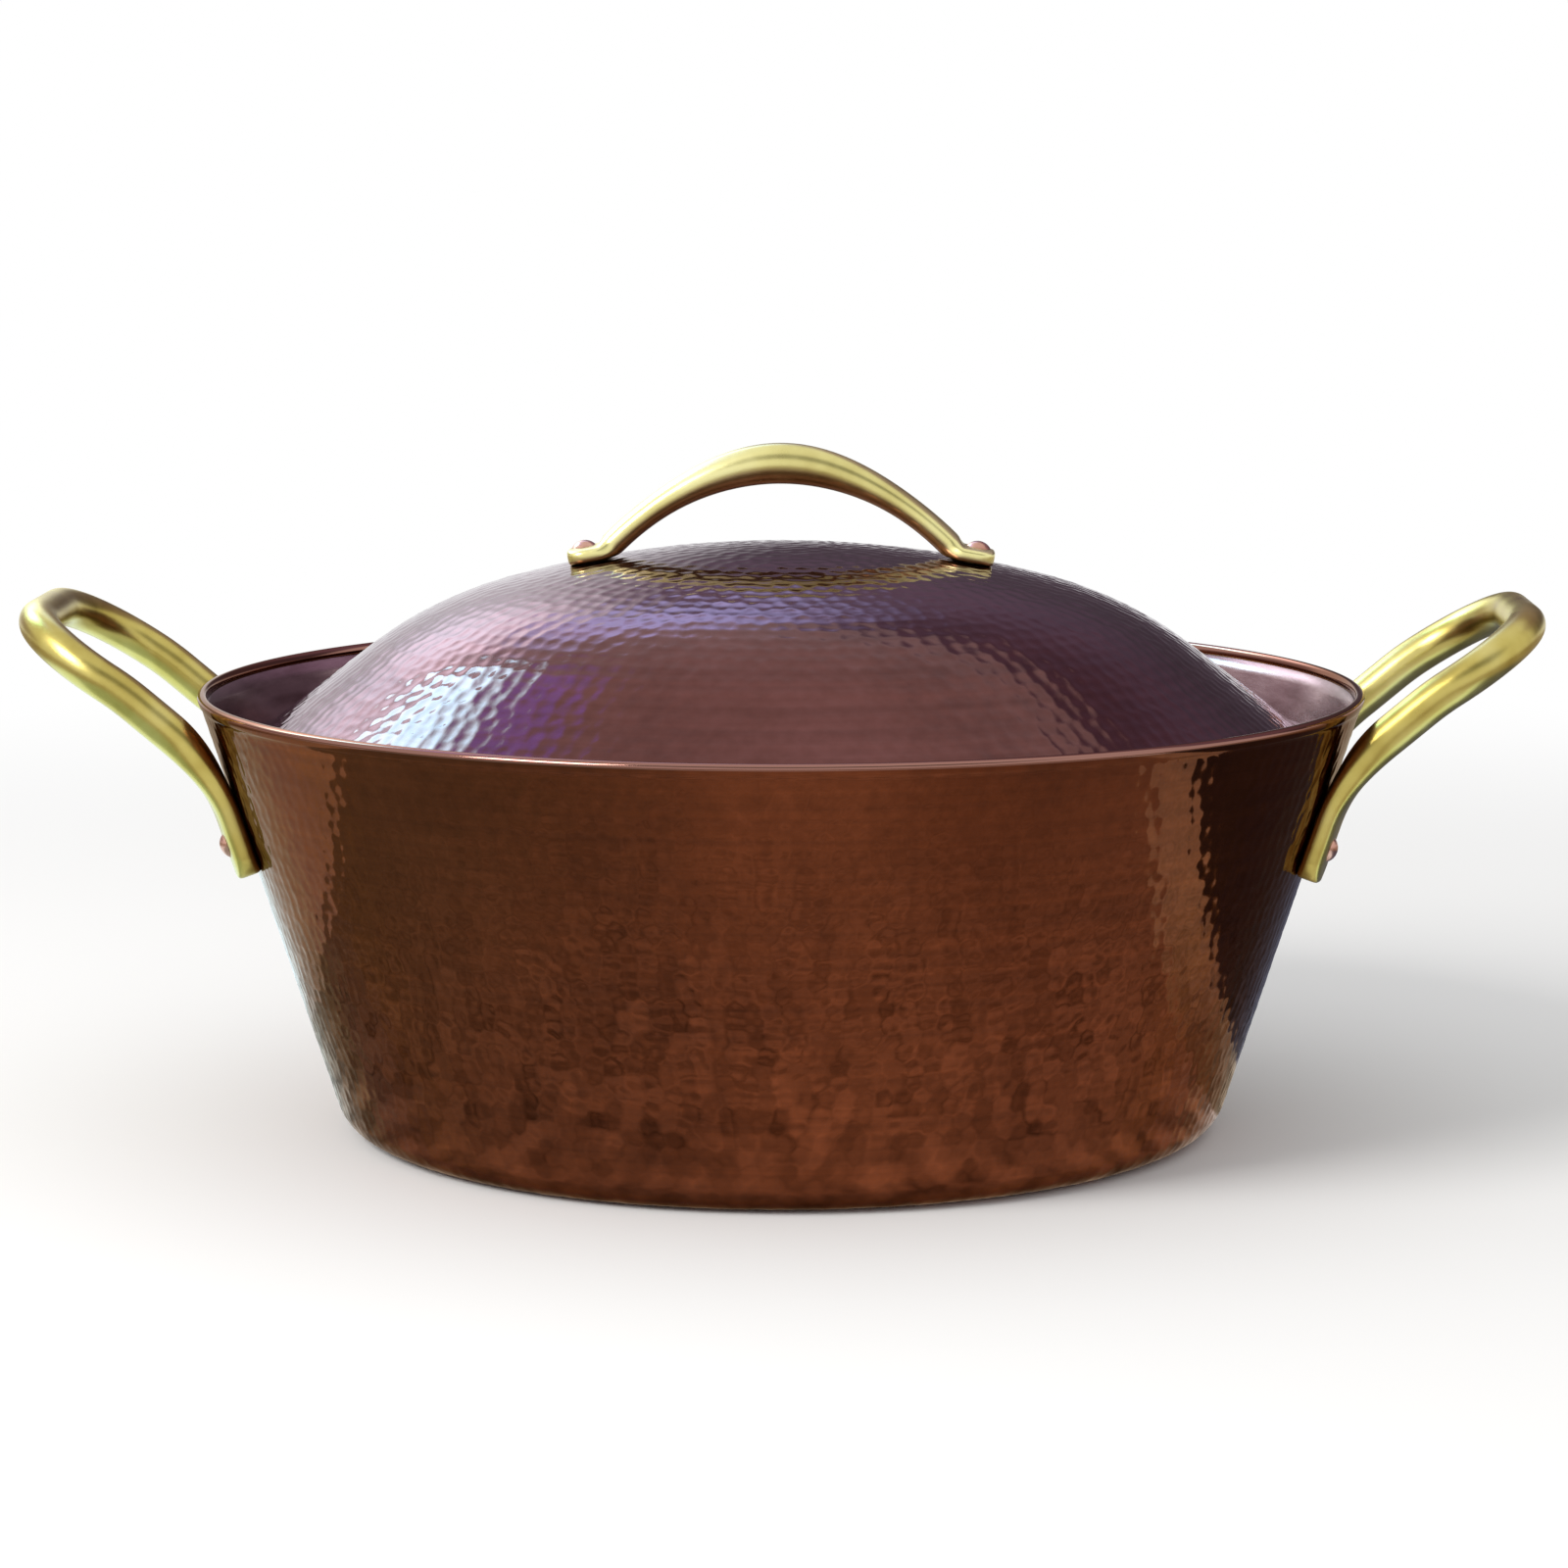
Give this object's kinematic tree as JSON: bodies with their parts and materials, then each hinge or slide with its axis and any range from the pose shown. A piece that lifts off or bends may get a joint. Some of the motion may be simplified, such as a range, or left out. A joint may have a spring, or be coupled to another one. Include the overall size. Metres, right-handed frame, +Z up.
{
  "type": "lidded cooking pot",
  "caption": "Round hammered copper pot with a leaning wall, two riveted brass rod handles and a drop-in domed lid with an arched brass handle.",
  "frame": {"origin": "centre of the base, on the surface that the pot stands on", "axes": "+Z up, +X towards the right side handle, both side handles on the X axis; the picture looks along +Y"},
  "size_m": [0.3112, 0.2398, 0.1409],
  "materials": {
    "copper": "hammered copper, dark bronzed patina outside, glossy",
    "brass_rod": "polished brass rod",
    "rivet_copper": "bright copper rivets"
  },
  "bodies": {
    "pot": {"pot_body": "copper", "left_handle": "brass_rod", "right_handle": "brass_rod", "left_front_rivet": "rivet_copper", "left_back_rivet": "rivet_copper", "right_front_rivet": "rivet_copper", "right_back_rivet": "rivet_copper"},
    "lid": {"lid": "copper", "lid_handle": "brass_rod", "lid_left_rivet": "rivet_copper", "lid_right_rivet": "rivet_copper"}
  },
  "joints": [
    {"name": "lid_lift", "type": "slide", "parent": "pot", "child": "lid", "axis": [0, 0, 1], "range_m": [0, 0.12]}
  ]
}
